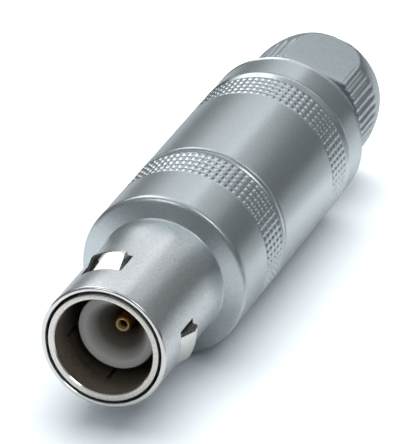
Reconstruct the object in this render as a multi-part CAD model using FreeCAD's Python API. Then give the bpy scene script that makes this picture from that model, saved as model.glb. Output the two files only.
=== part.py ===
import FreeCAD, Part
import math
import os

os.makedirs("parts", exist_ok=True)

# Push-pull plug with one contact, lying along X. The nose face is at x = 0, the cable end points to +X
# and the axis of the plug is the X axis. Angles about the axis start at +Z and turn towards -Y.
# Sizes in millimetres and degrees

# Outer shell, outside
shellLength = 35.5
noseRadius = 4.5
noseLength = 10.75
noseEdge = 0.05
rootRise = 0.1
shoulderRun = 0.38
shoulderHeight = 1.5
bodyEdge = 0.16
knurlDepth = 0.06
frontKnurlSetback = 4.27
frontKnurlWidth = 3.21
grooveGap = 0.42
grooveWidth = 0.18
rearKnurlWidth = 2.9
rearKnurlSetback = 3.63
rampLength = 0.5
crestLength = 0.25
stepLength = 0.12
landDrop = 0.08
tailEdge = 0.25

# Outer shell, inside
noseWall = 0.32
boreOverrun = 1.25
bodyWall = 1.1

# Latch sleeve
ringGap = 0.2
ringWall = 0.38
ringEdge = 0.07
fingerStart = 2.25
fingerRootGap = 0.45
fingerHalf = 33.0
fingerRelief = 0.06
crossSlot = 0.12
sideSlot = 0.28
sleeveEndGap = 0.1

# Latch tabs on the fingers, and their windows in the nose
tabCount = 3
tabAngle = -17.5
tabHalf = 19.0
tabSideLean = 18.0
tabSetback = 0.7
tabLength = 2.0
tabRise = 0.38
tabCrest = 0.35
windowSideGap = 1.0
windowFrontGap = 0.1
windowRearGap = 0.16

# Carrier sleeve behind the latch sleeve
spigotGap = 0.04
spigotLength = 2.9
releaseTravel = 0.8
stopGap = 0.6
flangeLength = 1.6
runningGap = 0.08
neckClearance = 0.18
threadReach = 3.2
threadRunout = 0.5
threadDepth = 0.3
lipLength = 0.3
seatGap = 0.04
stemBoreLength = 16.2
stemBoreStep = 0.2

# Guide bush in the tail of the shell
bushLength = 2.4
bushSink = 0.2
pressGap = 0.02

# Insulators
faceSetback = 2.45
matingGap = 0.82
collarStep = 0.18
collarLength = 1.3
bowlWall = 0.6
bowlLip = 0.13
bowlDepth = 2.6
bowlSteps = 2
rearInsulatorLength = 3.4

# Contact
tipSetback = 1.05
tipSink = 0.2
contactBore = 0.35
contactBoreDepth = 5.0
contactMouth = 0.08
tipWall = 0.18
barrelStep = 0.14
contactGap = 0.04
contactCollarStep = 0.63
contactCollarLength = 0.6
cupStep = 0.23
cupGap = 0.05
cupLength = 6.4
cupWall = 0.3
cupDepth = 2.6
cupNotch = 1.4

# Clip ring and the two half shells
clipLength = 0.5
clipWidth = 0.5
clipOpening = 40.0
halfShellWall = 0.5
splitGap = 0.05

# Shield cone
coneSeat = 1.9
coneFlange = 1.0
coneLength = 4.8
coneWall = 1.06
coneTipWall = 0.35

# Collet
colletFrontGap = 0.3
stemGap = 0.08
colletWall = 0.92
colletHeadGap = 0.3
colletHeadLength = 1.1
colletHeadStep = 0.5
colletNoseLength = 0.8
colletNoseDrop = 0.7
colletSlots = 4
colletSlotWidth = 0.35
colletSlotLength = 7.0

# Collet nut
nutSetback = 2.5
nutWall = 1.22
nutThreadGap = 0.08
nutTaperGap = 0.1
nutHoleStep = 0.78
nutCover = 0.7
nutTaperLength = 3.3
nutTaperDrop = 0.3
nutTailDrop = 0.5
nutTailEdge = 0.4
flatDepth = 0.7
flatAngle = 17.0
fluteCount = 48
fluteDepth = 0.22

axisStart = FreeCAD.Vector(0, 0, 0)
axisX = FreeCAD.Vector(1, 0, 0)


def point(x, r):
    return FreeCAD.Vector(x, 0, r)


def turned(outline, sweep=360.0):
    wire = Part.makePolygon([point(x, r) for x, r in outline + outline[:1]])
    return Part.Face(wire).revolve(axisStart, axisX, sweep)


def ring(start, length, inner, outer):
    end = start + length
    return turned([(start, inner), (end, inner), (end, outer), (start, outer)])


def aroundAxis(shape, angle):
    moved = shape.copy()
    moved.rotate(axisStart, axisX, angle)
    return moved


def sector(start, length, inner, outer, middle, half):
    end = start + length
    outline = [(start, inner), (end, inner), (end, outer), (start, outer)]
    return aroundAxis(turned(outline, 2 * half), middle - half)


def radialSlot(start, length, inner, outer, width, angle):
    slot = Part.makeBox(length, width, outer - inner, FreeCAD.Vector(start, -width / 2, inner))
    return aroundAxis(slot, angle)


def save(shape, node):
    shape.exportStep("parts/" + node + ".step")


# Radii, from the nose inwards
bodyRadius = noseRadius + shoulderHeight
landRadius = bodyRadius - landDrop
knurlRadius = bodyRadius - knurlDepth
noseBore = noseRadius - noseWall
shellBore = bodyRadius - bodyWall
sleeveOuter = noseBore - ringGap
sleeveBore = sleeveOuter - ringWall
spigotRadius = sleeveBore - spigotGap
flangeRadius = shellBore - runningGap
neckRadius = noseBore - neckClearance
threadRadius = neckRadius - threadDepth
insulatorRadius = sleeveBore - matingGap
collarRadius = insulatorRadius + collarStep
seatBore = collarRadius + seatGap
stemBore = seatBore + stemBoreStep
stemRadius = stemBore - stemGap
colletBore = stemRadius - colletWall
nutBore = threadRadius + nutThreadGap
nutRadius = nutBore + nutWall
cableHole = nutBore - nutHoleStep
tipRadius = contactBore + tipWall
barrelRadius = tipRadius + barrelStep
contactCollar = barrelRadius + contactCollarStep
cupRadius = barrelRadius + cupStep

# Stations along the axis, forward pieces from the nose face and rear pieces from the shell's end
noseBoreEnd = noseLength + boreOverrun
sleeveEnd = noseBoreEnd - sleeveEndGap
spigotStart = sleeveEnd - spigotLength
fingerLength = spigotStart - fingerRootGap - fingerStart
flangeStart = noseBoreEnd + releaseTravel + stopGap
flangeEnd = flangeStart + flangeLength
collarStart = spigotStart + lipLength
collarEnd = collarStart + collarLength
clipStart = collarEnd + rearInsulatorLength
halfShellStart = clipStart + clipLength
nutStart = shellLength + nutSetback
carrierEnd = nutStart + threadReach
threadStart = nutStart - threadRunout
stemBoreStart = carrierEnd - stemBoreLength
coneStart = stemBoreStart - coneSeat
coneFlangeEnd = coneStart + coneFlange
coneEnd = coneFlangeEnd + coneLength
colletStart = coneEnd + colletFrontGap
headStart = carrierEnd + colletHeadGap
headEnd = headStart + colletHeadLength
colletEnd = headEnd + colletNoseLength
nutEnd = colletEnd + nutCover
tabStart = fingerStart + tabSetback
tabEnd = tabStart + tabLength
tabAngles = [tabAngle + i * 360.0 / tabCount for i in range(tabCount)]

# Outer shell: nose tube, shoulder, grip body with two knurl bands and a plain rear land
shoulderTop = noseLength + shoulderRun
bodyStart = shoulderTop + bodyEdge
frontKnurlStart = bodyStart + frontKnurlSetback
frontKnurlEnd = frontKnurlStart + frontKnurlWidth
grooveStart = frontKnurlEnd + grooveGap
rearKnurlEnd = shellLength - rearKnurlSetback
rearKnurlStart = rearKnurlEnd - rearKnurlWidth
crestStart = rearKnurlEnd + rampLength
crestEnd = crestStart + crestLength
shellOutline = [
    (0.0, noseBore),
    (0.0, noseRadius - noseEdge),
    (noseEdge, noseRadius),
    (noseLength - rootRise, noseRadius),
    (noseLength, noseRadius + rootRise),
    (shoulderTop, bodyRadius - bodyEdge),
    (bodyStart, bodyRadius),
    (frontKnurlStart, bodyRadius),
    (frontKnurlStart + knurlDepth, knurlRadius),
    (frontKnurlEnd - knurlDepth, knurlRadius),
    (frontKnurlEnd, bodyRadius),
    (grooveStart, bodyRadius),
    (grooveStart + grooveWidth / 2, bodyRadius - grooveWidth / 2),
    (grooveStart + grooveWidth, bodyRadius),
    (rearKnurlStart, bodyRadius),
    (rearKnurlStart + knurlDepth, knurlRadius),
    (rearKnurlEnd, knurlRadius),
    (crestStart, bodyRadius),
    (crestEnd, bodyRadius),
    (crestEnd + stepLength, landRadius),
    (shellLength - tailEdge, landRadius),
    (shellLength, landRadius - tailEdge),
    (shellLength, shellBore),
    (noseBoreEnd, shellBore),
    (noseBoreEnd, noseBore),
]
outerShell = turned(shellOutline)
windowStart = tabStart - windowFrontGap
windowLength = tabLength + windowFrontGap + windowRearGap
for angle in tabAngles:
    window = sector(windowStart, windowLength, sleeveOuter, bodyRadius, angle, tabHalf + windowSideGap)
    outerShell = outerShell.cut(window)
save(outerShell, "outer_shell")

# Guide bush, pressed into the tail of the shell and sliding on the neck of the carrier sleeve
bushStart = shellLength - bushSink - bushLength
save(ring(bushStart, bushLength, neckRadius + runningGap, shellBore - pressGap), "guide_bush")

# Latch sleeve: closed front ring, then three fingers between slots, each with a ramped tab
latchSleeve = turned([
    (0.0, sleeveBore + ringEdge),
    (0.0, sleeveOuter - ringEdge),
    (ringEdge, sleeveOuter),
    (sleeveEnd, sleeveOuter),
    (sleeveEnd, sleeveBore),
    (ringEdge, sleeveBore),
])
fingerBore = sleeveBore + fingerRelief
tabTop = noseRadius + tabRise
tabOutline = [
    (tabStart, fingerBore),
    (tabStart, noseRadius - noseWall / 2),
    (tabEnd - tabCrest, tabTop),
    (tabEnd, tabTop),
    (tabEnd, fingerBore),
]


# What takes the side off a tab above the nose bore, leaning in from the tab's end
def leaningCut(side):
    turn = math.radians(tabHalf)
    foot = FreeCAD.Vector(tabStart, -side * noseBore * math.sin(turn), noseBore * math.cos(turn))
    block = Part.makeBox(tabLength, tabTop, tabTop, foot - FreeCAD.Vector(0, tabTop * (1 + side) / 2, 0))
    block.rotate(foot, axisX, -side * tabSideLean)
    return block


for angle in tabAngles:
    relief = sector(fingerStart, fingerLength, insulatorRadius, fingerBore, angle, fingerHalf)
    cross = sector(fingerStart, crossSlot, insulatorRadius, noseBore, angle, fingerHalf)
    latchSleeve = latchSleeve.cut(relief).cut(cross)
    for side in (angle - fingerHalf, angle + fingerHalf):
        slot = radialSlot(fingerStart, fingerLength, insulatorRadius, noseRadius, sideSlot, side)
        latchSleeve = latchSleeve.cut(slot)
    tab = turned(tabOutline, 2 * tabHalf)
    tab.rotate(axisStart, axisX, -tabHalf)
    for side in (-1, 1):
        tab = tab.cut(leaningCut(side))
    latchSleeve = latchSleeve.fuse(aroundAxis(tab, angle))
save(latchSleeve.removeSplitter(), "latch_sleeve")

# Carrier sleeve: spigot in the latch sleeve, stop flange inside the shell, neck and rear thread
lipBore = insulatorRadius + seatGap
save(turned([
    (spigotStart, lipBore),
    (spigotStart, spigotRadius),
    (sleeveEnd, spigotRadius),
    (sleeveEnd, sleeveOuter),
    (flangeStart, sleeveOuter),
    (flangeStart, flangeRadius),
    (flangeEnd, flangeRadius),
    (flangeEnd, neckRadius),
    (threadStart, neckRadius),
    (threadStart, threadRadius),
    (carrierEnd, threadRadius),
    (carrierEnd, stemBore),
    (stemBoreStart, stemBore),
    (stemBoreStart, seatBore),
    (collarStart, seatBore),
    (collarStart, lipBore),
]), "carrier_sleeve")

# Front insulator: barrel with an open bowl in its face, and a collar seated in the carrier sleeve
bowlRadius = insulatorRadius - bowlWall - bowlLip
bowlFloor = faceSetback + bowlDepth
barrelHole = barrelRadius + contactGap
contactSeat = collarEnd - contactCollarLength - contactGap
insulatorOutline = [
    (contactSeat, barrelHole),
    (contactSeat, contactCollar + contactGap),
    (collarEnd, contactCollar + contactGap),
    (collarEnd, collarRadius),
    (collarStart, collarRadius),
    (collarStart, insulatorRadius),
    (faceSetback, insulatorRadius),
    (faceSetback, bowlRadius + bowlLip),
    (faceSetback + bowlLip, bowlRadius),
]
for i in range(1, bowlSteps + 1):
    turn = i * math.pi / 2 / bowlSteps
    x = faceSetback + bowlLip + (bowlDepth - bowlLip) * math.sin(turn)
    insulatorOutline.append((x, barrelHole + (bowlRadius - barrelHole) * math.cos(turn)))
save(turned(insulatorOutline), "front_insulator")

# Contact: open tip in the bowl, barrel, collar trapped between the insulators, solder cup
tipStart = faceSetback + tipSetback
collarBack = collarEnd - contactCollarLength
cupEnd = collarEnd + cupLength
contact = turned([
    (tipStart, contactBore + contactMouth),
    (tipStart, tipRadius),
    (bowlFloor + tipSink, tipRadius),
    (bowlFloor + tipSink, barrelRadius),
    (collarBack, barrelRadius),
    (collarBack, contactCollar),
    (collarEnd, contactCollar),
    (collarEnd, cupRadius),
    (cupEnd, cupRadius),
    (cupEnd, cupRadius - cupWall),
    (cupEnd - cupDepth, cupRadius - cupWall),
    (cupEnd - cupDepth, 0.0),
    (tipStart + contactBoreDepth, 0.0),
    (tipStart + contactBoreDepth, contactBore),
    (tipStart + contactMouth, contactBore),
])
cupSide = Part.makeBox(cupNotch, 2 * cupRadius, cupRadius, FreeCAD.Vector(cupEnd - cupNotch, -cupRadius, 0))
save(contact.cut(cupSide), "contact")

# Rear insulator and the clip ring that holds both insulators in the carrier sleeve
save(ring(collarEnd, rearInsulatorLength, cupRadius + cupGap, collarRadius), "rear_insulator")
clipBore = collarRadius - clipWidth
clipRing = ring(clipStart, clipLength, clipBore, collarRadius)
opening = sector(clipStart, clipLength, clipBore / 2, seatBore, 180.0, clipOpening / 2)
save(clipRing.cut(opening), "clip_ring")

# Two half shells that space the shield cone from the clip ring
halfShellLength = coneStart - halfShellStart
tube = ring(halfShellStart, halfShellLength, collarRadius - halfShellWall, collarRadius)
for node, turn in (("half_shell_upper", 0.0), ("half_shell_lower", 180.0)):
    above = FreeCAD.Vector(halfShellStart, -collarRadius, splitGap / 2)
    half = Part.makeBox(halfShellLength, 2 * collarRadius, collarRadius, above)
    save(tube.common(aroundAxis(half, turn)), node)

# Shield cone under the cable's braid
coneBore = collarRadius - coneWall
save(turned([
    (coneStart, coneBore),
    (coneStart, collarRadius),
    (coneFlangeEnd, collarRadius),
    (coneEnd, coneBore + coneTipWall),
    (coneEnd, coneBore),
]), "shield_cone")

# Collet: slotted clamp that slides in the carrier sleeve, with a tapered end under the nut
headRadius = stemRadius + colletHeadStep
slotInner = colletBore / 2
collet = turned([
    (colletStart, colletBore),
    (colletStart, stemRadius),
    (headStart, stemRadius),
    (headStart, headRadius),
    (headEnd, headRadius),
    (colletEnd, headRadius - colletNoseDrop),
    (colletEnd, colletBore),
])
slotStart = colletEnd - colletSlotLength
for i in range(colletSlots):
    turn = i * 360.0 / colletSlots
    collet = collet.cut(radialSlot(slotStart, colletSlotLength, slotInner, headRadius, colletSlotWidth, turn))
save(collet, "collet")

# Collet nut: fluted grip with two wrench flats and a tapering tail
taperStart = nutEnd - nutTaperLength
taperMiddle = nutEnd - nutTaperLength / 2
taperRadius = nutRadius - nutTaperDrop
taperSlope = nutTaperDrop / (taperMiddle - taperStart)
tailRadius = taperRadius - nutTailDrop
innerTaperStart = headEnd + nutTaperGap
nut = turned([
    (nutStart, nutBore),
    (nutStart, nutRadius + taperSlope * (taperStart - nutStart)),
    (taperMiddle, taperRadius),
    (nutEnd - nutTailEdge, tailRadius),
    (nutEnd, tailRadius - nutTailEdge),
    (nutEnd, cableHole),
    (innerTaperStart + nutHoleStep, cableHole),
    (innerTaperStart, nutBore),
])
flutes = []
for i in range(2 * fluteCount):
    turn = i * math.pi / fluteCount
    radius = nutRadius - fluteDepth * (i % 2)
    flutes.append(FreeCAD.Vector(nutStart, -radius * math.sin(turn), radius * math.cos(turn)))
fluted = Part.Face(Part.makePolygon(flutes + flutes[:1])).extrude(FreeCAD.Vector(nutEnd - nutStart, 0, 0))
nut = nut.common(fluted)
for side in (flatAngle, flatAngle + 180.0):
    corner = FreeCAD.Vector(nutStart, -nutRadius, nutRadius - flatDepth)
    nut = nut.cut(aroundAxis(Part.makeBox(nutEnd - nutStart, 2 * nutRadius, nutRadius, corner), side))
save(nut, "collet_nut")
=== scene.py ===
import math

import bmesh
import bpy
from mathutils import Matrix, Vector


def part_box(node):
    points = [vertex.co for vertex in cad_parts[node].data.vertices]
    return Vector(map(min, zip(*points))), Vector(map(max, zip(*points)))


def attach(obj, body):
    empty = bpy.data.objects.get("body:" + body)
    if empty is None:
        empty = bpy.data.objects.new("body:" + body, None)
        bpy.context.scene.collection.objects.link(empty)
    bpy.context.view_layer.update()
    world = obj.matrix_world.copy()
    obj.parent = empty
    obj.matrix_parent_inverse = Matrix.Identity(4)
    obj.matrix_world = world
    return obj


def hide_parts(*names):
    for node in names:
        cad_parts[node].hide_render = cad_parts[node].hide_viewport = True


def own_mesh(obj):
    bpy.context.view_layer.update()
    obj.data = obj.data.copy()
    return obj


# A push-pull plug with one contact, lying on a pale floor with its nose towards the camera.
# X runs along the plug from the nose face to the cable end. Angles start at +Z and turn towards -Y.
# Lengths are in metres and angles in degrees

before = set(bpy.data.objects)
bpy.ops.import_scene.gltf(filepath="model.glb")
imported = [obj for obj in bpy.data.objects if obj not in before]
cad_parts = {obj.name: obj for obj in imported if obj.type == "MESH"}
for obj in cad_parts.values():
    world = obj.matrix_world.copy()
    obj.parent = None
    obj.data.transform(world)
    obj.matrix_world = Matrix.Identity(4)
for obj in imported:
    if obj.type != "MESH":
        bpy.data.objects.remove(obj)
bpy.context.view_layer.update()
mm = 0.001
nearly = 0.0001 * mm  # Lengths, or angles, closer than this count as equal

# Low and high corners of the CAD nodes that the scene's pieces follow
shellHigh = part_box("outer_shell")[1]
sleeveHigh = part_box("latch_sleeve")[1]
insulatorLow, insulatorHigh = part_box("front_insulator")
contactLow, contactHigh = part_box("contact")
nutLow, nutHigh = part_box("collet_nut")
shellEnd = shellHigh[0]
bodyRadius = shellHigh[2]

# Directions of the three latch tabs
tabAngles = [-17.5, 102.5, 222.5]


def ringPoint(x, radius, angle):
    turn = math.radians(angle)
    return Vector((x, -radius * math.sin(turn), radius * math.cos(turn)))


# Degrees from one direction to another, between -180 and 180
def turnFrom(start, angle):
    return (angle - start + 180) % 360 - 180


# Degrees to the nearest tab
def fromTab(angle):
    return min(abs(turnFrom(middle, angle)) for middle in tabAngles)


def newPiece(name, mesh, sharpAngle=30.0):
    bm = bmesh.new()
    bm.from_mesh(mesh)
    bmesh.ops.remove_doubles(bm, verts=bm.verts, dist=nearly)
    bmesh.ops.recalc_face_normals(bm, faces=bm.faces)
    limit = math.radians(sharpAngle)
    for face in bm.faces:
        face.smooth = True
    for edge in bm.edges:
        edge.smooth = len(edge.link_faces) == 2 and edge.calc_face_angle(0.0) < limit
    bm.to_mesh(mesh)
    bm.free()
    piece = bpy.data.objects.new(name, mesh)
    bpy.context.scene.collection.objects.link(piece)
    return piece


# Part of an outline, from pairs in millimetres: how far along from x, and how far in from the radius
def profile(x, radius, pairs):
    return [(x + along * mm, radius - inward * mm) for along, inward in pairs]


# A rounded edge that starts on the face at x and ends on the side: length runs along X, height across it
def frontRound(x, side, length, height, steps=6):
    turns = [math.radians(90.0 * i / steps) for i in range(steps + 1)]
    return [(x + length * (1 - math.cos(turn)), side - height * (1 - math.sin(turn))) for turn in turns]


# A closed outline of (x, radius) points turned about the axis. shape(x, radius, angle) gives the radius at
# an angle, and isOpen(x, angle) tells where the wall is cut through
def turnedPiece(name, outline, steps, shape=None, isOpen=None, startAngle=0.0, sharpAngle=30.0):
    stepAngle = 360.0 / steps
    vertices = []
    for k in range(steps):
        angle = startAngle + k * stepAngle
        for x, radius in outline:
            vertices.append(ringPoint(x, shape(x, radius, angle) if shape else radius, angle))
    count = len(outline)
    faces = []
    closed = set()
    for k in range(steps):
        middle = startAngle + (k + 0.5) * stepAngle
        first = k * count
        second = ((k + 1) % steps) * count
        for i in range(count):
            j = (i + 1) % count
            if isOpen and isOpen((outline[i][0] + outline[j][0]) / 2, middle):
                continue
            closed.add((k, i))
            faces.append((first + i, first + j, second + j, second + i))
    if isOpen:
        faces += cutWalls(outline, steps, closed)
    mesh = bpy.data.meshes.new(name)
    mesh.from_pydata(vertices, [], faces)
    return newPiece(name, mesh, sharpAngle)


# The walls of a cut: each open stretch has an outer and an inner surface with the same stations, and the
# edges that bound it are joined between the two
def cutWalls(outline, steps, closed):
    count = len(outline)
    byX = {}
    for i, (x, radius) in enumerate(outline):
        byX.setdefault(round(x, 9), []).append(i)

    def partner(i):
        same = [j for j in byX[round(outline[i][0], 9)] if j != i]
        far = outline[i][1]
        return min(same, key=lambda j: abs(outline[j][1] - far)) if same else None

    walls = []
    for k in range(steps):
        before = (k - 1) % steps
        after = (k + 1) % steps
        for i in range(count):
            j = (i + 1) % count
            if (k, i) in closed:
                continue
            a, b = partner(i), partner(j)
            if a is None or b is None or outline[a][1] > outline[i][1]:
                continue
            if (before, i) in closed:
                row = k * count
                walls.append((row + i, row + j, row + b, row + a))
            if (after, i) in closed:
                row = ((k + 1) % steps) * count
                walls.append((row + i, row + j, row + b, row + a))
            this = k * count
            following = ((k + 1) % steps) * count
            if (k, (i - 1) % count) in closed:
                walls.append((this + i, following + i, following + a, this + a))
            if (k, j) in closed:
                walls.append((this + j, following + j, following + b, this + b))
    return walls


# Faces that pick() names, by the middle of each face, take another finish
def paint(piece, finish, pick):
    piece.data.materials.append(finish)
    for face in piece.data.polygons:
        x, y, z = face.center
        if pick(x, math.hypot(y, z), face.normal):
            face.material_index = len(piece.data.materials) - 1


def material(name, color, metallic, roughness):
    made = bpy.data.materials.new(name)
    made.use_nodes = True
    shader = made.node_tree.nodes["Principled BSDF"]
    shader.inputs["Base Color"].default_value = (*color, 1.0)
    shader.inputs["Metallic"].default_value = metallic
    shader.inputs["Roughness"].default_value = roughness
    return made, made.node_tree, shader


# Fine bumps on a surface. It gives back their noise, for addTint
def addGrain(tree, shader, scale, strength, distance, detail=3.0):
    coordinates = tree.nodes.new("ShaderNodeTexCoord")
    noise = tree.nodes.new("ShaderNodeTexNoise")
    noise.inputs["Scale"].default_value = scale
    noise.inputs["Detail"].default_value = detail
    bump = tree.nodes.new("ShaderNodeBump")
    bump.inputs["Strength"].default_value = strength
    bump.inputs["Distance"].default_value = distance
    tree.links.new(coordinates.outputs["Object"], noise.inputs["Vector"])
    tree.links.new(noise.outputs["Fac"], bump.inputs["Height"])
    tree.links.new(bump.outputs["Normal"], shader.inputs["Normal"])
    return noise


# The color follows the grain between two tones
def addTint(tree, shader, noise, dark, light, darkAt=0.3, lightAt=0.6):
    ramp = tree.nodes.new("ShaderNodeValToRGB")
    ramp.color_ramp.elements[0].position = darkAt
    ramp.color_ramp.elements[0].color = (*dark, 1.0)
    ramp.color_ramp.elements[1].position = lightAt
    ramp.color_ramp.elements[1].color = (*light, 1.0)
    tree.links.new(noise.outputs["Fac"], ramp.inputs["Fac"])
    tree.links.new(ramp.outputs["Color"], shader.inputs["Base Color"])


def satinChrome():
    made, tree, shader = material("satin_chrome", color=(0.68, 0.75, 0.78), metallic=1.0, roughness=0.3)
    noise = addGrain(tree, shader, scale=7000.0, strength=0.2, distance=0.00002)
    addTint(tree, shader, noise, dark=(0.62, 0.69, 0.72), light=(0.71, 0.78, 0.81))
    return made


# The nose is coarser and lighter than the body; the lighter tint is partly the nose's own finish and partly
# painted light, standing in for a brighter highlight there
def litNoseChrome():
    made, tree, shader = material("nose_chrome_painted_light", color=(0.84, 0.86, 0.87), metallic=1.0, roughness=0.30)
    noise = addGrain(tree, shader, scale=6500.0, strength=0.5, distance=0.00002)
    addTint(tree, shader, noise, dark=(0.72, 0.77, 0.80), light=(0.91, 0.95, 0.97))
    return made


# The nut is rougher and darker than the shell; its darker tint is partly painted shade, standing in for the
# dimmer light at the rear
def shadedNutChrome():
    made, tree, shader = material("nut_chrome_painted_shade", color=(0.62, 0.69, 0.72), metallic=1.0, roughness=0.36)
    noise = addGrain(tree, shader, scale=6000.0, strength=0.25, distance=0.00002)
    addTint(tree, shader, noise, dark=(0.54, 0.61, 0.64), light=(0.64, 0.71, 0.74))
    return made


def sleeveMetal():
    made, tree, shader = material("warm_nickel", color=(0.86, 0.83, 0.77), metallic=1.0, roughness=0.3)
    noise = addGrain(tree, shader, scale=5000.0, strength=0.15, distance=0.00001)
    addTint(tree, shader, noise, dark=(0.78, 0.75, 0.69), light=(0.90, 0.87, 0.81))
    return made


# Painted shade: a darker copy of the sleeve metal for inside the sleeve bore, which is also rougher
def boreShadeMetal():
    made, tree, shader = material("bore_painted_shade", color=(0.40, 0.34, 0.28), metallic=0.8, roughness=0.42)
    noise = addGrain(tree, shader, scale=5000.0, strength=0.15, distance=0.00001)
    addTint(tree, shader, noise, dark=(0.33, 0.27, 0.22), light=(0.43, 0.36, 0.30))
    return made


def polishedMetal():
    made, tree, shader = material("bright_nickel", color=(0.90, 0.90, 0.89), metallic=1.0, roughness=0.14)
    addGrain(tree, shader, scale=3000.0, strength=0.06, distance=0.00001)
    return made


def tabMetal():
    made, tree, shader = material("polished_tab", color=(0.93, 0.93, 0.91), metallic=1.0, roughness=0.07)
    addGrain(tree, shader, scale=3000.0, strength=0.08, distance=0.00001)
    return made


# One side of each tab is rough, and painted nearly black: a painted dark reflection
def tabSideDarkMetal():
    made, tree, shader = material("tab_side_painted_dark", color=(0.20, 0.20, 0.19), metallic=1.0, roughness=0.4)
    noise = addGrain(tree, shader, scale=9000.0, strength=0.7, distance=0.00002)
    addTint(tree, shader, noise, dark=(0.01, 0.01, 0.01), light=(0.14, 0.14, 0.135))
    return made


def brassMetal():
    made, tree, shader = material("brass", color=(0.75, 0.60, 0.32), metallic=1.0, roughness=0.3)
    addGrain(tree, shader, scale=3000.0, strength=0.1, distance=0.00001)
    return made


def bushMetal():
    made, tree, shader = material("dark_bush", color=(0.32, 0.31, 0.29), metallic=1.0, roughness=0.35)
    addGrain(tree, shader, scale=3000.0, strength=0.1, distance=0.00001)
    return made


def goldMetal():
    made, tree, shader = material("gold", color=(1.0, 0.60, 0.20), metallic=1.0, roughness=0.34)
    addGrain(tree, shader, scale=6000.0, strength=0.1, distance=0.000005)
    return made


# The open end of the contact, painted paler than the rest: painted light where light falls into the mouth
def paintedLitGold():
    made, tree, shader = material("gold_painted_light", color=(1.0, 0.86, 0.50), metallic=0.4, roughness=0.28)
    addGrain(tree, shader, scale=6000.0, strength=0.1, distance=0.000005)
    return made


def insulatorPlastic():
    made, tree, shader = material("white_insulator", color=(0.80, 0.80, 0.79), metallic=0.0, roughness=0.45)
    noise = addGrain(tree, shader, scale=2500.0, strength=0.08, distance=0.00001)
    addTint(tree, shader, noise, dark=(0.76, 0.75, 0.74), light=(0.82, 0.82, 0.81))
    return made


# Painted shade: how the bowl darkens between two places along X
bowl = {
    "lightTo": insulatorLow[0] + 0.02 * mm,
    "darkFrom": insulatorLow[0] + 2.4 * mm,
    "light": (0.60, 0.61, 0.60),
    "middle": (0.18, 0.17, 0.15),
    "dark": (0.05, 0.04, 0.03),
    "middleAt": 0.4,
}


# The insulator's finish with painted shade: it darkens with depth in the bowl, where little light reaches
def bowlPaintedShade():
    made, tree, shader = material("bowl_insulator_painted_shade", color=(0.80, 0.80, 0.79), metallic=0.0, roughness=0.4)
    addGrain(tree, shader, scale=2500.0, strength=0.06, distance=0.00001)
    coordinates = tree.nodes.new("ShaderNodeTexCoord")
    split = tree.nodes.new("ShaderNodeSeparateXYZ")
    depth = tree.nodes.new("ShaderNodeMapRange")
    depth.inputs["From Min"].default_value = bowl["lightTo"]
    depth.inputs["From Max"].default_value = bowl["darkFrom"]
    ramp = tree.nodes.new("ShaderNodeValToRGB")
    ramp.color_ramp.elements[0].color = (*bowl["light"], 1.0)
    ramp.color_ramp.elements[1].color = (*bowl["dark"], 1.0)
    middle = ramp.color_ramp.elements.new(bowl["middleAt"])
    middle.color = (*bowl["middle"], 1.0)
    tree.links.new(coordinates.outputs["Object"], split.inputs["Vector"])
    tree.links.new(split.outputs["X"], depth.inputs["Value"])
    tree.links.new(depth.outputs["Result"], ramp.inputs["Fac"])
    tree.links.new(ramp.outputs["Color"], shader.inputs["Base Color"])
    return made


def springSteel():
    made, tree, shader = material("spring_steel", color=(0.5, 0.5, 0.52), metallic=1.0, roughness=0.35)
    addGrain(tree, shader, scale=4000.0, strength=0.1, distance=0.00001)
    return made


finishes = {
    "chrome": satinChrome(),
    "nose": litNoseChrome(),
    "nut": shadedNutChrome(),
    "sleeve": sleeveMetal(),
    "bore": boreShadeMetal(),
    "bright": polishedMetal(),
    "tab": tabMetal(),
    "cut": tabSideDarkMetal(),
    "brass": brassMetal(),
    "bush": bushMetal(),
    "gold": goldMetal(),
    "paintedLitGold": paintedLitGold(),
    "insulator": insulatorPlastic(),
    "bowl": bowlPaintedShade(),
    "steel": springSteel(),
}
print("finishes made")

# Outer shell: nose tube with three windows, shoulder, two knurled grip bands and rear land. The pairs are
# profiles in millimetres: along X from where they start, and in from the nose or the body
shell = {
    "noseRadius": 4.5 * mm,
    "noseBore": 4.18 * mm,
    "noseEdge": 0.16 * mm,
    "noseBoreEdge": 0.03 * mm,
    "noseLength": 10.75 * mm,
    "noseFinishEnd": 10.65 * mm,
    "noseRoot": ((-0.25, 0.0), (-0.10, -0.02), (0.0, -0.10)),
    "shoulder": ((0.30, 0.30), (0.36, 0.14), (0.44, 0.04), (0.54, 0.0), (0.80, 0.0)),
    "boreEnd": 12.0 * mm,
    "bodyBore": 4.9 * mm,
    "bodyBoreEdge": 0.1 * mm,
    "windowStart": 2.85 * mm,
    "windowEnd": 5.11 * mm,
    "windowHalf": 20.0,
    "beforeBand": ((-0.30, 0.0), (-0.14, 0.0), (-0.10, 0.06), (-0.01, 0.0)),
    "rearRim": ((-0.50, 0.08), (-0.36, 0.08), (-0.30, 0.07), (-0.16, 0.02), (-0.08, 0.05), (0.0, 0.20)),
    "turnSteps": 600,
}

# A groove follows the front band, and a bright crest the rear one
bands = [
    {
        "start": 15.56 * mm,
        "width": 3.21 * mm,
        "depth": 0.09 * mm,
        "after": (
            (0.08, 0.0), (0.40, 0.0), (0.45, 0.02), (0.51, 0.09), (0.57, 0.02), (0.62, 0.0), (0.72, 0.0),
        ),
    },
    {
        "start": 28.97 * mm,
        "width": 2.90 * mm,
        "depth": 0.07 * mm,
        "after": ((0.04, 0.25), (0.54, 0.03), (0.64, 0.0), (0.72, 0.0), (0.84, 0.03), (0.90, 0.08)),
    },
]

# Dots on the bands: pitch along X, count around, and how broad their tops are by level and swing
knurl = {
    "pitch": 0.62 * mm,
    "count": 75,
    "steps": 8,
    "level": 0.6,
    "swing": 0.8,
}


def bandStations(band):
    steps = round(band["width"] / knurl["pitch"] * knurl["steps"])
    return [(band["start"] + i * band["width"] / steps, bodyRadius) for i in range(steps + 1)]


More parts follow.
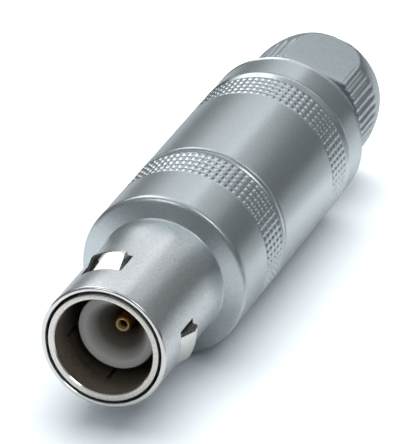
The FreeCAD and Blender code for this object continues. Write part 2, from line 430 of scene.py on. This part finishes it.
def shellOutline():
    nose = shell["noseRadius"]
    bore = shell["noseBore"]
    root = shell["noseLength"]
    outline = [(shell["noseBoreEdge"], bore), (0.0, bore + shell["noseBoreEdge"])]
    outline += frontRound(0.0, nose, shell["noseEdge"], shell["noseEdge"])
    outline += [(shell["windowStart"], nose), (shell["windowEnd"], nose)]
    outline += profile(root, nose, shell["noseRoot"])
    outline += profile(root, bodyRadius, shell["shoulder"])
    for band in bands:
        outline += profile(band["start"], bodyRadius, shell["beforeBand"])
        outline += bandStations(band)
        outline += profile(band["start"] + band["width"], bodyRadius, band["after"])
    outline += profile(shellEnd, bodyRadius, shell["rearRim"])
    outline += [
        (shellEnd, shell["bodyBore"] + shell["bodyBoreEdge"]),
        (shellEnd - shell["bodyBoreEdge"], shell["bodyBore"]),
        (shell["boreEnd"], shell["bodyBore"]),
        (shell["boreEnd"], bore),
        (shell["windowEnd"], bore),
        (shell["windowStart"], bore),
    ]
    return outline


# Height of a row of dots, from 0 in the groove to 1 on top. turns counts the dots
def dotRow(turns):
    return min(1.0, max(0.0, knurl["level"] - knurl["swing"] * math.cos(2 * math.pi * turns)))


def knurledRadius(x, radius, angle):
    if radius < bodyRadius - nearly:
        return radius
    for band in bands:
        if band["start"] - nearly <= x <= band["start"] + band["width"] + nearly:
            rows = round(band["width"] / knurl["pitch"])
            along = dotRow((x - band["start"]) / band["width"] * rows)
            around = dotRow(angle / 360.0 * knurl["count"])
            return radius - band["depth"] * (1 - along * around)
    return radius


def inWindow(x, angle):
    return shell["windowStart"] < x < shell["windowEnd"] and fromTab(angle) < shell["windowHalf"]


# The rows of points start half a step off the first tab, so that a window is cut just past windowHalf
firstRow = tabAngles[0] + 180.0 / shell["turnSteps"]
shellPiece = turnedPiece(
    "shell_body", shellOutline(), shell["turnSteps"], knurledRadius, inWindow, startAngle=firstRow,
)
shellPiece.data.materials.append(finishes["chrome"])
# The nose takes the lighter chrome, partly painted light
paint(shellPiece, finishes["nose"], lambda x, r, normal: x < shell["noseFinishEnd"])
paint(shellPiece, finishes["bright"], lambda x, r, normal: x < shell["noseEdge"])
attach(shellPiece, "shell")
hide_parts("outer_shell")
print("shell made")

# Latch sleeve: front ring, three fingers between slots, tail
sleeve = {
    "outer": 3.98 * mm,
    "ringBore": 3.53 * mm,
    "ringEnd": 1.1 * mm,
    "ringStep": 0.1 * mm,
    "bore": 3.60 * mm,
    "relief": 3.66 * mm,
    "darkTo": 3.68 * mm,
    "fingerStart": 2.25 * mm,
    "crossSlot": 0.12 * mm,
    "fingerEnd": 8.55 * mm,
    "end": sleeveHigh[0],
    "fingerHalf": 33.0,
    "slotHalf": 2.0,
    "edge": 0.07 * mm,
    "edgeBulge": 0.3,
    "faceOn": 0.95,
    "turnSteps": 360,
}


def sleeveOutline():
    outer = sleeve["outer"]
    bore = sleeve["bore"]
    edge = sleeve["edge"]
    start = sleeve["fingerStart"]
    stations = [start, start + sleeve["crossSlot"], sleeve["fingerEnd"]]
    inner = sleeve["ringBore"]
    bulge = sleeve["edgeBulge"] * edge
    outline = [(sleeve["ringEnd"] + sleeve["ringStep"], bore), (sleeve["ringEnd"], inner)]
    outline += [(edge, inner), (0.0, inner + edge), (0.0, outer - edge)]
    outline += [(bulge, outer - bulge), (edge, outer)]
    outline += [(x, outer) for x in stations]
    outline += [(sleeve["end"], outer), (sleeve["end"], bore)]
    outline += [(x, bore) for x in reversed(stations)]
    return outline


# The fingers are thinner than the rest of the sleeve
def fingerBore(x, radius, angle):
    start = sleeve["fingerStart"] + sleeve["crossSlot"]
    inFinger = start - nearly <= x <= sleeve["fingerEnd"] - nearly
    underTab = fromTab(angle) <= sleeve["fingerHalf"] + nearly
    if radius < sleeve["bore"] + nearly and inFinger and underTab:
        return sleeve["relief"]
    return radius


# Slots beside each finger, and the cross slot in front of it
def sleeveCut(x, angle):
    if not sleeve["fingerStart"] < x < sleeve["fingerEnd"]:
        return False
    away = fromTab(angle)
    cross = x < sleeve["fingerStart"] + sleeve["crossSlot"] and away < sleeve["fingerHalf"]
    return cross or abs(away - sleeve["fingerHalf"]) < sleeve["slotHalf"]


def inSleeveBore(x, r, normal):
    return r < sleeve["darkTo"] and x > sleeve["edge"]


def onSleeveEdge(x, r, normal):
    return x < sleeve["edge"] and abs(normal.x) < sleeve["faceOn"]


sleevePiece = turnedPiece(
    "latch_ring", sleeveOutline(), sleeve["turnSteps"], fingerBore, sleeveCut, startAngle=tabAngles[0],
)
sleevePiece.data.materials.append(finishes["sleeve"])
# The inside of the sleeve bore takes painted shade
paint(sleevePiece, finishes["bore"], inSleeveBore)
paint(sleevePiece, finishes["bright"], onSleeveEdge)
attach(sleevePiece, "core")

# Latch tabs: each ramp rises to a crest, then drops to the finger. Angles count from the tab's middle
tab = {
    "start": 2.95 * mm,
    "end": 4.95 * mm,
    "base": 4.0 * mm,
    "front": 4.34 * mm,
    "top": 4.88 * mm,
    "crest": 0.35 * mm,
    "half": 18.6,
    "topHalf": 15.4,
    "turnSteps": 24,
    "edge": 0.03 * mm,
    "edgeSteps": 2,
    "darkBeyond": 12.5,
    "pressedTo": 3.43 * mm,
    "keep": 0.42,
}


def tabOutline():
    base, top = tab["base"], tab["top"]
    start, end = tab["start"], tab["end"]
    return [(start, base), (start, tab["front"]), (end - tab["crest"], top), (end, top), (end, base)]


# A tab is narrower towards its top, so that its two sides lean in
def tabPiece(name, middle):
    outline = tabOutline()
    steps = tab["turnSteps"]
    vertices = []
    for k in range(steps + 1):
        for x, radius in outline:
            height = (radius - tab["base"]) / (tab["top"] - tab["base"])
            half = tab["half"] + (tab["topHalf"] - tab["half"]) * height
            vertices.append(ringPoint(x, radius, middle + half * (2 * k / steps - 1)))
    count = len(outline)
    faces = [tuple(range(count)), tuple(range(steps * count + count - 1, steps * count - 1, -1))]
    for k in range(steps):
        for i in range(count):
            j = (i + 1) % count
            faces.append((k * count + i, k * count + j, (k + 1) * count + j, (k + 1) * count + i))
    mesh = bpy.data.meshes.new(name)
    mesh.from_pydata(vertices, [], faces)
    piece = newPiece(name, mesh)
    rounding = piece.modifiers.new("edges", "BEVEL")
    rounding.width = tab["edge"]
    rounding.segments = tab["edgeSteps"]
    rounding.limit_method = "ANGLE"
    rounding.harden_normals = True
    bpy.context.view_layer.objects.active = piece
    bpy.ops.object.modifier_apply(modifier="edges")
    return piece


# One side of a tab takes the rough finish, painted nearly black as a painted dark reflection
def paintDarkSide(piece, middle):
    piece.data.materials.append(finishes["cut"])
    for face in piece.data.polygons:
        angle = math.degrees(math.atan2(-face.center.y, face.center.z))
        if turnFrom(middle, angle) < -tab["darkBeyond"]:
            face.material_index = len(piece.data.materials) - 1


for number, middle in enumerate(tabAngles):
    piece = tabPiece("latch_tab_%d" % (number + 1), middle)
    piece.data.materials.append(finishes["tab"])
    paintDarkSide(piece, middle)
    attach(piece, "core")
    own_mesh(piece)
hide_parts("latch_sleeve")
print("latch made")

# Front insulator, with an open bowl in its face
insulator = {
    "face": insulatorLow[0],
    "end": insulatorHigh[0],
    "radius": 2.78 * mm,
    "collar": 2.96 * mm,
    "collarStart": 9.3 * mm,
    "edge": 0.12 * mm,
    "lip": 2.20 * mm,
    "bowlDepth": 2.6 * mm,
    "bowlCurve": 1.12,
    "bowlSteps": 24,
    "hole": 0.71 * mm,
    "turnSteps": 160,
}


def insulatorOutline():
    face = insulator["face"]
    outer = insulator["radius"]
    lip = insulator["lip"]
    hole = insulator["hole"]
    outline = [(insulator["end"], hole), (insulator["end"], insulator["collar"])]
    outline += [(insulator["collarStart"], insulator["collar"]), (insulator["collarStart"], outer)]
    outline += reversed(frontRound(face, outer, insulator["edge"], insulator["edge"]))
    outline.append((face, lip))
    for i in range(1, insulator["bowlSteps"] + 1):
        share = i / insulator["bowlSteps"]
        depth = insulator["bowlDepth"] * share ** insulator["bowlCurve"]
        outline.append((face + depth, lip - (lip - hole) * share))
    return outline


insulatorPiece = turnedPiece("front_insulator_body", insulatorOutline(), insulator["turnSteps"])
# The insulator takes painted shade that deepens into the bowl
insulatorPiece.data.materials.append(finishes["bowl"])
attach(insulatorPiece, "core")
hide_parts("front_insulator")

# Contact: open tip in the bowl, barrel, collar and solder cup
contact = {
    "start": contactLow[0],
    "end": contactHigh[0],
    "bore": 0.35 * mm,
    "boreDepth": 5.0 * mm,
    "mouth": 0.12 * mm,
    "mouthRadius": 0.44 * mm,
    "paleDepth": 0.5 * mm,
    "round": 0.32 * mm,
    "tipLength": 3.2 * mm,
    "radius": 0.56 * mm,
    "barrel": 0.67 * mm,
    "cup": 0.90 * mm,
    "cupBore": 0.60 * mm,
    "cupDepth": 2.6 * mm,
    "collar": 1.30 * mm,
    "collarStart": 10.0 * mm,
    "collarEnd": 10.6 * mm,
    "turnSteps": 96,
}


def contactOutline():
    start = contact["start"]
    end = contact["end"]
    bore = contact["bore"]
    radius = contact["radius"]
    barrel = contact["barrel"]
    collar = contact["collar"]
    boreEnd = start + contact["boreDepth"]
    tipEnd = start + contact["tipLength"]
    cupStart = end - contact["cupDepth"]
    outline = [(cupStart, 0.0), (boreEnd, 0.0), (boreEnd, bore)]
    outline += [(start + contact["paleDepth"], bore), (start + contact["mouth"], bore)]
    outline += frontRound(start, radius, contact["round"], radius - contact["mouthRadius"])
    outline += [(tipEnd, radius), (tipEnd, barrel)]
    outline += [(contact["collarStart"], barrel), (contact["collarStart"], collar)]
    outline += [(contact["collarEnd"], collar), (contact["collarEnd"], contact["cup"])]
    outline += [(end, contact["cup"]), (end, contact["cupBore"]), (cupStart, contact["cupBore"])]
    return outline


def inContactMouth(x, r, normal):
    return x < contact["start"] + contact["paleDepth"] and r < contact["mouthRadius"]


contactPiece = turnedPiece("contact_body", contactOutline(), contact["turnSteps"])
contactPiece.data.materials.append(finishes["gold"])
# The mouth of the contact takes painted light, a paler gold
paint(contactPiece, finishes["paintedLitGold"], inContactMouth)
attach(contactPiece, "core")
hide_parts("contact")
print("contact and insulator made")

# Collet nut: fluted cylinder, smooth taper and two wrench flats. frontEdge is a profile in millimetres, and
# its last pair ends at edgeLength
nut = {
    "start": nutLow[0],
    "end": nutHigh[0],
    "radius": 5.0 * mm,
    "wall": 1.2 * mm,
    "bore": 3.78 * mm,
    "boreEdge": 0.1 * mm,
    "boreDepth": 4.7 * mm,
    "hole": 3.0 * mm,
    "holeEdge": 0.15 * mm,
    "holeStart": 5.28 * mm,
    "frontEdge": ((0.0, 0.14), (0.04, 0.06), (0.12, 0.01), (0.35, 0.0)),
    "edgeLength": 0.35 * mm,
    "fluteCount": 48,
    "fluteDepth": 0.13 * mm,
    "fluteCurve": 1.5,
    "fluteEnd": 41.0 * mm,
    "fluteSteps": 8,
    "fadeBeyond": 0.3 * mm,
    "fadeLength": 0.5 * mm,
    "taperDepth": 0.62 * mm,
    "taperCurve": 1.5,
    "taperSteps": 14,
    "tailDepth": 0.55 * mm,
    "tailCurve": 8,
    "flatAngle": 17.0,
    "flatDistance": 4.3 * mm,
    "turnSteps": 576,
    "sharpAngle": 24.0,
}


def nutOutline():
    start, end = nut["start"], nut["end"]
    radius, bore, hole = nut["radius"], nut["bore"], nut["hole"]
    outline = [(start, bore + nut["boreEdge"])]
    outline += profile(start, radius, nut["frontEdge"])
    fluteStart = start + nut["edgeLength"]
    stepLength = (nut["fluteEnd"] - fluteStart) / nut["fluteSteps"]
    outline += [(fluteStart + stepLength * i, radius) for i in range(1, nut["fluteSteps"] + 1)]
    for i in range(1, nut["taperSteps"] + 1):
        share = i / nut["taperSteps"]
        x = nut["fluteEnd"] + (end - nut["fluteEnd"]) * share
        taper = nut["taperDepth"] * share ** nut["taperCurve"]
        tail = nut["tailDepth"] * share ** nut["tailCurve"]
        outline.append((x, radius - taper - tail))
    outline += [
        (end, hole + nut["holeEdge"]),
        (end - nut["holeEdge"], hole),
        (start + nut["holeStart"], hole),
        (start + nut["boreDepth"], bore),
        (start + nut["boreEdge"], bore),
    ]
    return outline


# The bore and the hole lie deeper than the wall and stay round. The flutes fade out where the taper starts
def nutShape(x, radius, angle):
    if radius < nut["radius"] - nut["wall"]:
        return radius
    edgeDrop = nut["radius"] - radius if x <= nut["start"] + nut["edgeLength"] else 0.0
    fade = min(1.0, max(0.0, (nut["fluteEnd"] + nut["fadeBeyond"] - x) / nut["fadeLength"]))
    groove = (0.5 + 0.5 * math.cos(math.radians(angle) * nut["fluteCount"])) ** nut["fluteCurve"]
    radius -= nut["fluteDepth"] * groove * fade
    for flat in (nut["flatAngle"], nut["flatAngle"] + 180.0):
        facing = math.cos(math.radians(angle - flat))
        if facing > 0.0:
            radius = min(radius, (nut["flatDistance"] - edgeDrop) / facing)
    return radius


nutPiece = turnedPiece(
    "collet_nut_body", nutOutline(), nut["turnSteps"], nutShape, sharpAngle=nut["sharpAngle"],
)
# The nut takes the darker chrome, partly painted shade
nutPiece.data.materials.append(finishes["nut"])
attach(nutPiece, "nut")
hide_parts("collet_nut")
print("nut made")

# Finishes of the CAD pieces that stay
carriedFinishes = {
    "carrier_sleeve": "chrome",
    "guide_bush": "bush",
    "rear_insulator": "insulator",
    "clip_ring": "steel",
    "half_shell_upper": "sleeve",
    "half_shell_lower": "sleeve",
    "shield_cone": "sleeve",
    "collet": "brass",
}
for node, finish in carriedFinishes.items():
    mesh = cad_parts[node].data
    mesh.materials.clear()
    mesh.materials.append(finishes[finish])
print("carried pieces finished")


def tinted(grey, tint):
    return (*[grey * part for part in tint], 1.0)


# A ramp of greys, from pairs of position and brightness
def greyRamp(tree, steps, tint):
    ramp = tree.nodes.new("ShaderNodeValToRGB")
    elements = ramp.color_ramp.elements
    while len(elements) < len(steps):
        elements.new(0.5)  # Its position is set below
    for element, (position, grey) in zip(elements, steps):
        element.position = position
        element.color = tinted(grey, tint)
    return ramp


# A grey that changes along X, from pairs of place and brightness
def alongPlug(tree, steps, tint):
    coordinates = tree.nodes.new("ShaderNodeTexCoord")
    split = tree.nodes.new("ShaderNodeSeparateXYZ")
    place = tree.nodes.new("ShaderNodeMapRange")
    first = steps[0][0]
    last = steps[-1][0]
    place.inputs["From Min"].default_value = first
    place.inputs["From Max"].default_value = last
    ramp = greyRamp(tree, [((x - first) / (last - first), grey) for x, grey in steps], tint)
    tree.links.new(coordinates.outputs["Object"], split.inputs["Vector"])
    tree.links.new(split.outputs["X"], place.inputs["Value"])
    tree.links.new(place.outputs["Result"], ramp.inputs["Fac"])
    return ramp.outputs["Color"]


# A value that changes along Y between two places
def acrossPlug(tree, places, values):
    coordinates = tree.nodes.new("ShaderNodeTexCoord")
    split = tree.nodes.new("ShaderNodeSeparateXYZ")
    place = tree.nodes.new("ShaderNodeMapRange")
    place.inputs["From Min"].default_value = places[0]
    place.inputs["From Max"].default_value = places[1]
    place.inputs["To Min"].default_value = values[0]
    place.inputs["To Max"].default_value = values[1]
    tree.links.new(coordinates.outputs["Object"], split.inputs["Vector"])
    tree.links.new(split.outputs["Y"], place.inputs["Value"])
    return place.outputs["Result"]


# Pale floor that keeps the shadow. The camera sees it in one color, which turns to white far from the plug.
# For metal it holds painted shade and light: it is mirrored in darker and lighter strips, with others to
# the left. left and strips are pairs of a place along X and a brightness, and each From or To holds the two
# places along Y between which one brightness turns into the next
floorFinish = {
    "size": 3.0,
    "seen": (0.86, 0.91, 0.95),
    "plain": 0.45,
    "left": ((-0.060, 0.15), (-0.034, 0.60), (0.015, 0.60), (0.040, 0.42), (0.080, 0.32)),
    "strips": (
        (-0.055, 0.15), (-0.030, 0.55), (0.0, 0.55), (0.006, 0.36), (0.009, 0.50), (0.014, 0.50),
        (0.022, 0.48), (0.029, 0.53), (0.040, 0.60), (0.050, 0.46),
    ),
    "leftFrom": (-0.004, 0.004),
    "near": 0.9,
    "nearTo": (-0.011, -0.006),
    "far": 0.55,
    "farFrom": (-0.024, -0.015),
    "tint": (0.95, 0.98, 1.0),
    "middle": (0.02, 0.0, 0.0),
    "white": (0.10, 0.18),
}


# The floor as metal mirrors it, with painted shade and light in strips
def mirroredFloorPaintedShade(tree):
    strips = alongPlug(tree, floorFinish["strips"], floorFinish["tint"])
    left = alongPlug(tree, floorFinish["left"], floorFinish["tint"])
    near = acrossPlug(tree, floorFinish["nearTo"], (1.0, floorFinish["near"]))
    far = acrossPlug(tree, floorFinish["farFrom"], (floorFinish["far"], 1.0))
    isLeft = acrossPlug(tree, floorFinish["leftFrom"], (0.0, 1.0))
    shade = tree.nodes.new("ShaderNodeMath")
    shade.operation = "MULTIPLY"
    dimmed = tree.nodes.new("ShaderNodeVectorMath")
    dimmed.operation = "SCALE"
    side = tree.nodes.new("ShaderNodeMix")
    side.data_type = "RGBA"
    tree.links.new(near, shade.inputs[0])
    tree.links.new(far, shade.inputs[1])
    tree.links.new(strips, dimmed.inputs["Vector"])
    tree.links.new(shade.outputs["Value"], dimmed.inputs["Scale"])
    tree.links.new(dimmed.outputs["Vector"], side.inputs["A"])
    tree.links.new(left, side.inputs["B"])
    tree.links.new(isLeft, side.inputs["Factor"])
    return side.outputs["Result"]


# 0 near the plug and 1 far from it
def awayFromPlug(tree):
    coordinates = tree.nodes.new("ShaderNodeTexCoord")
    distance = tree.nodes.new("ShaderNodeVectorMath")
    distance.operation = "DISTANCE"
    distance.inputs[1].default_value = floorFinish["middle"]
    share = tree.nodes.new("ShaderNodeMapRange")
    share.inputs["From Min"].default_value = floorFinish["white"][0]
    share.inputs["From Max"].default_value = floorFinish["white"][1]
    tree.links.new(coordinates.outputs["Object"], distance.inputs[0])
    tree.links.new(distance.outputs["Value"], share.inputs["Value"])
    return share.outputs["Result"]


def floorMaterial():
    made = bpy.data.materials.new("floor_white")
    made.use_nodes = True
    tree = made.node_tree
    tree.nodes.clear()
    path = tree.nodes.new("ShaderNodeLightPath")
    mirror = tree.nodes.new("ShaderNodeMath")
    mirror.operation = "ADD"
    mirrored = tree.nodes.new("ShaderNodeMix")
    mirrored.data_type = "RGBA"
    mirrored.inputs["A"].default_value = tinted(floorFinish["plain"], floorFinish["tint"])
    color = tree.nodes.new("ShaderNodeMix")
    color.data_type = "RGBA"
    color.inputs["B"].default_value = (*floorFinish["seen"], 1.0)
    diffuse = tree.nodes.new("ShaderNodeBsdfDiffuse")
    white = tree.nodes.new("ShaderNodeEmission")
    share = tree.nodes.new("ShaderNodeMath")
    share.operation = "MULTIPLY"
    blend = tree.nodes.new("ShaderNodeMixShader")
    output = tree.nodes.new("ShaderNodeOutputMaterial")
    tree.links.new(path.outputs["Is Glossy Ray"], mirror.inputs[0])
    tree.links.new(path.outputs["Is Transmission Ray"], mirror.inputs[1])
    tree.links.new(mirror.outputs["Value"], mirrored.inputs["Factor"])
    tree.links.new(mirroredFloorPaintedShade(tree), mirrored.inputs["B"])
    tree.links.new(mirrored.outputs["Result"], color.inputs["A"])
    tree.links.new(path.outputs["Is Camera Ray"], color.inputs["Factor"])
    tree.links.new(color.outputs["Result"], diffuse.inputs["Color"])
    tree.links.new(path.outputs["Is Camera Ray"], share.inputs[0])
    tree.links.new(awayFromPlug(tree), share.inputs[1])
    tree.links.new(share.outputs["Value"], blend.inputs["Fac"])
    tree.links.new(diffuse.outputs["BSDF"], blend.inputs[1])
    tree.links.new(white.outputs["Emission"], blend.inputs[2])
    tree.links.new(blend.outputs["Shader"], output.inputs["Surface"])
    return made


def makeFloor():
    half = floorFinish["size"] / 2
    z = -bodyRadius
    corners = [(-half, -half, z), (half, -half, z), (half, half, z), (-half, half, z)]
    mesh = bpy.data.meshes.new("floor")
    mesh.from_pydata(corners, [], [(0, 1, 2, 3)])
    mesh.materials.append(floorMaterial())
    floor = bpy.data.objects.new("floor", mesh)
    bpy.context.scene.collection.objects.link(floor)


# The room that lights the plug and that metal mirrors, from its darker horizon to its ceiling: height of
# each step and its grey, and the direction of a darker corner. The camera sees it white
room = {
    "steps": ((0.0, 0.07), (0.12, 0.15), (0.25, 0.17), (0.55, 0.25), (1.0, 0.35)),
    "tint": (0.93, 0.97, 1.0),
    "corner": (0.507, 0.811, 0.292),
    "cornerEdge": (0.94, 0.978),
    "cornerShare": 0.1,
}


def makeRoom():
    world = bpy.data.worlds.new("studio")
    world.use_nodes = True
    tree = world.node_tree
    background = tree.nodes["Background"]
    coordinates = tree.nodes.new("ShaderNodeTexCoord")
    split = tree.nodes.new("ShaderNodeSeparateXYZ")
    ramp = greyRamp(tree, room["steps"], room["tint"])
    tree.links.new(coordinates.outputs["Generated"], split.inputs["Vector"])
    tree.links.new(split.outputs["Z"], ramp.inputs["Fac"])
    nearness = tree.nodes.new("ShaderNodeVectorMath")
    nearness.operation = "DOT_PRODUCT"
    nearness.inputs[1].default_value = room["corner"]
    corner = tree.nodes.new("ShaderNodeMapRange")
    corner.inputs["From Min"].default_value = room["cornerEdge"][0]
    corner.inputs["From Max"].default_value = room["cornerEdge"][1]
    corner.inputs["To Min"].default_value = 1.0
    corner.inputs["To Max"].default_value = room["cornerShare"]
    dimmed = tree.nodes.new("ShaderNodeVectorMath")
    dimmed.operation = "SCALE"
    tree.links.new(coordinates.outputs["Generated"], nearness.inputs[0])
    tree.links.new(nearness.outputs["Value"], corner.inputs["Value"])
    tree.links.new(ramp.outputs["Color"], dimmed.inputs["Vector"])
    tree.links.new(corner.outputs["Result"], dimmed.inputs["Scale"])
    path = tree.nodes.new("ShaderNodeLightPath")
    shown = tree.nodes.new("ShaderNodeMix")
    shown.data_type = "RGBA"
    shown.inputs["B"].default_value = (1.0, 1.0, 1.0, 1.0)
    tree.links.new(path.outputs["Is Camera Ray"], shown.inputs["Factor"])
    tree.links.new(dimmed.outputs["Vector"], shown.inputs["A"])
    tree.links.new(shown.outputs["Result"], background.inputs["Color"])
    bpy.context.scene.world = world


# Panels of soft light: place, what they point at, width and height, power, and whether metal mirrors them
lights = {
    "overhead": {
        "place": (0.15, -0.02, 0.35),
        "aim": (0.15, -0.02, 0.0),
        "size": (0.31, 0.52),
        "power": 2.1,
        "mirrored": False,
    },
    "top": {
        "place": (0.07, 0.05, 0.35),
        "aim": (0.07, 0.05, 0.0),
        "size": (0.34, 0.46),
        "power": 0.36,
        "mirrored": True,
    },
    "side": {
        "place": (0.129, 0.171, 0.210),
        "aim": (0.0, 0.0, 0.0),
        "size": (0.17, 0.22),
        "power": 0.14,
        "mirrored": True,
    },
    "sky": {
        "place": (0.27, 0.12, 0.28),
        "aim": (0.02, 0.0, 0.0),
        "size": (0.34, 0.34),
        "power": 0.19,
        "mirrored": True,
    },
    "fill": {
        "place": (0.062, -0.014, 0.042),
        "aim": (0.012, -0.002, 0.004),
        "size": (0.034, 0.026),
        "power": 0.0009,
        "mirrored": True,
    },
    "mouth": {
        "place": (-0.164, 0.063, 0.10),
        "aim": (0.0036, 0.0, 0.0),
        "size": (0.06, 0.06),
        "power": 0.022,
        "mirrored": True,
    },
    "front": {
        "place": (-0.27, -0.24, 0.34),
        "aim": (0.0, 0.0, 0.0),
        "size": (0.16, 0.16),
        "power": 0.20,
        "mirrored": True,
    },
}


def makeLight(name, place, aim, size, power, mirrored):
    data = bpy.data.lights.new(name, "AREA")
    data.shape = "RECTANGLE"
    data.size, data.size_y = size
    data.energy = power
    light = bpy.data.objects.new(name, data)
    light.location = place
    light.visible_glossy = mirrored
    direction = Vector(aim) - Vector(place)
    light.rotation_euler = direction.to_track_quat("-Z", "Y").to_euler()
    bpy.context.scene.collection.objects.link(light)


# The camera looks at the nose from the front, a little from the side and from above
camera = {
    "place": (-0.2908, -0.1179, 0.1671),
    "forward": (0.8353, 0.3172, -0.4491),
    "lens": 431.4,
    "nearest": 0.01,
}


def makeCamera():
    data = bpy.data.cameras.new("camera")
    data.lens = camera["lens"]
    data.clip_start = camera["nearest"]
    view = bpy.data.objects.new("camera", data)
    view.location = camera["place"]
    view.rotation_mode = "QUATERNION"
    view.rotation_quaternion = Vector(camera["forward"]).to_track_quat("-Z", "Y")
    bpy.context.scene.collection.objects.link(view)
    bpy.context.scene.camera = view


makeFloor()
makeRoom()
for name, choice in lights.items():
    makeLight(name, **choice)
makeCamera()
bpy.context.scene.view_settings.view_transform = "Standard"
print("stage made")
